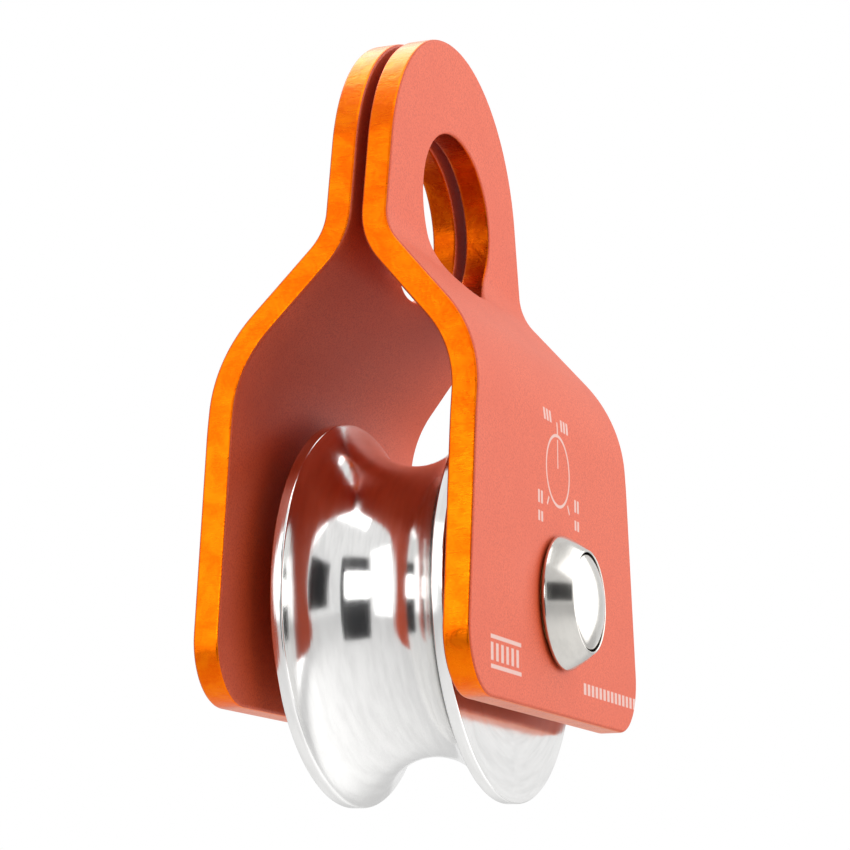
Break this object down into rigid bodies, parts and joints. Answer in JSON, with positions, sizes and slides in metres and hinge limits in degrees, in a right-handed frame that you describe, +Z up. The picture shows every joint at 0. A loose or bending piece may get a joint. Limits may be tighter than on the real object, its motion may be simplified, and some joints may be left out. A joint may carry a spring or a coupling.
{
  "type": "rope pulley",
  "caption": "Swing-cheek rope pulley: two bent orange side plates with a shared anchor eye, and a polished deep-grooved sheave on a ball bearing.",
  "frame": {"origin": "centre of the anchor eye, midway between the two cheeks, where a connector holds the pulley up", "axes": "+X along the axle pin towards the near cheek, +Y towards the back edge of the cheeks, +Z up from the wheel to the eye"},
  "size_m": [0.0562, 0.0806, 0.1232],
  "materials": {
    "orange_anodised": "bead-blasted and anodised orange, with brighter machined edges",
    "polished_aluminium": "turned and polished, with fine tool lines round it",
    "stainless": "turned and polished stainless steel",
    "bearing_steel": "ground bearing steel",
    "spring_steel": "phosphated dark steel",
    "bronze": "plain sintered bronze",
    "nylon": "matte moulded nylon"
  },
  "bodies": {
    "far_side": {"far_cheek": "orange_anodised", "far_bush": "bronze"},
    "near_side": {"near_cheek": "orange_anodised", "near_bush": "bronze"},
    "axle_set": {"axle_pin": "stainless", "near_collar": "stainless", "far_collar": "stainless", "near_washer": "nylon", "far_washer": "nylon", "near_spacer": "stainless", "far_spacer": "stainless", "inner_race": "bearing_steel"},
    "wheel_set": {"sheave": "polished_aluminium", "outer_race": "bearing_steel", "near_shield": "spring_steel", "far_shield": "spring_steel", "retaining_ring": "spring_steel"},
    "ball_set": {"ball_cage": "nylon", "ball_1": "bearing_steel", "ball_2": "bearing_steel", "ball_3": "bearing_steel", "ball_4": "bearing_steel", "ball_5": "bearing_steel", "ball_6": "bearing_steel", "ball_7": "bearing_steel", "ball_8": "bearing_steel", "ball_9": "bearing_steel", "ball_10": "bearing_steel"}
  },
  "joints": [
    {"name": "near_cheek_swing", "type": "hinge", "parent": "far_side", "child": "near_side", "pos_m": [0, 0, -0.064], "axis": [1, 0, 0], "continuous": true},
    {"name": "axle_turn", "type": "hinge", "parent": "far_side", "child": "axle_set", "pos_m": [0, 0, -0.064], "axis": [1, 0, 0], "continuous": true},
    {"name": "sheave_spin", "type": "hinge", "parent": "axle_set", "child": "wheel_set", "pos_m": [0, 0, -0.064], "axis": [1, 0, 0], "continuous": true},
    {"name": "ball_orbit", "type": "hinge", "parent": "axle_set", "child": "ball_set", "pos_m": [0, 0, -0.064], "axis": [1, 0, 0], "continuous": true}
  ],
  "couplings": [
    {"joint": "ball_orbit", "follows": "sheave_spin", "ratio": 0.588}
  ]
}
